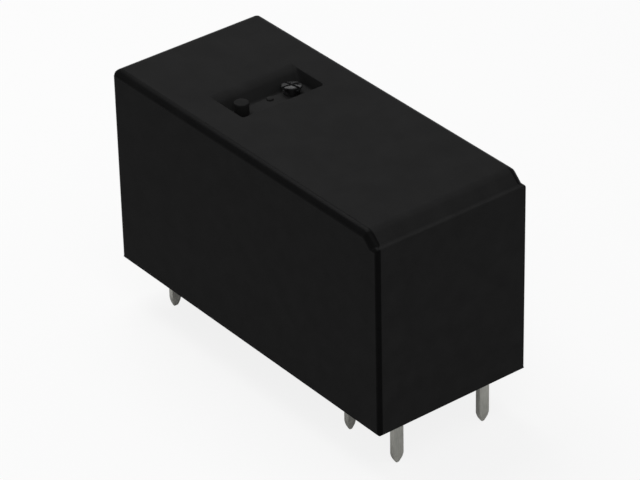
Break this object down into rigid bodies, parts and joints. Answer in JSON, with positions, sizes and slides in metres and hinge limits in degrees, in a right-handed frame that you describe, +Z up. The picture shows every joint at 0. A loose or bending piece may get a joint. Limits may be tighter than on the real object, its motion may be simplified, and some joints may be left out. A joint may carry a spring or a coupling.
{
  "type": "pcb power relay",
  "caption": "Sealed power relay for a circuit board: black moulded cover with a vent pocket, tinned pins below, and a coil, armature, card and contact leaf inside.",
  "frame": {"origin": "centre of the cover's lower rim, on the board's surface", "axes": "+X along the cover towards the contact pins, +Z up away from the board, Y across the two rows of pins"},
  "size_m": [0.029, 0.0126, 0.0192],
  "materials": {
    "cover_plastic": "satin",
    "base_plastic": "matte",
    "resin": "gloss",
    "tinned_copper": "satin",
    "bobbin_plastic": "satin",
    "enamelled_wire": "gloss",
    "tape": "gloss",
    "soft_iron": "satin",
    "spring_bronze": "satin",
    "card_plastic": "satin",
    "contact_silver": "satin"
  },
  "bodies": {
    "housing": {"cover": "cover_plastic", "base": "base_plastic", "sealing_resin": "resin", "com_terminal": "tinned_copper", "no_terminal": "tinned_copper", "coil_terminal_1": "tinned_copper", "coil_terminal_2": "tinned_copper", "bobbin": "bobbin_plastic", "coil_winding": "enamelled_wire", "coil_tape": "tape", "core": "soft_iron", "yoke": "soft_iron", "hinge_spring": "spring_bronze", "spring_rivet_1": "tinned_copper", "spring_rivet_2": "tinned_copper", "no_contact": "contact_silver"},
    "tilting_armature": {"armature": "soft_iron"},
    "sliding_card": {"actuator_card": "card_plastic"},
    "contact_leaf": {"moving_spring": "spring_bronze", "moving_contact": "contact_silver"}
  },
  "joints": [
    {"name": "armature_tilt", "type": "hinge", "parent": "housing", "child": "tilting_armature", "pos_m": [-0.01093, 0, 0.0026], "axis": [0, 1, 0], "range_deg": [0, 5]},
    {"name": "card_slide", "type": "slide", "parent": "housing", "child": "sliding_card", "axis": [1, 0, 0], "range_m": [0, 0.000798], "stiffness_N_per_m": 25, "springref_m": -0.001},
    {"name": "leaf_flex", "type": "hinge", "parent": "housing", "child": "contact_leaf", "pos_m": [0.00843, 0, 0.0052], "axis": [0, 1, 0], "range_deg": [0, 6.55], "deforming": ["moving_spring"]}
  ],
  "couplings": [
    {"joint": "armature_tilt", "follows": "card_slide", "rad_per_m": 109.3},
    {"joint": "leaf_flex", "follows": "card_slide", "rad_per_m": 142.85}
  ]
}
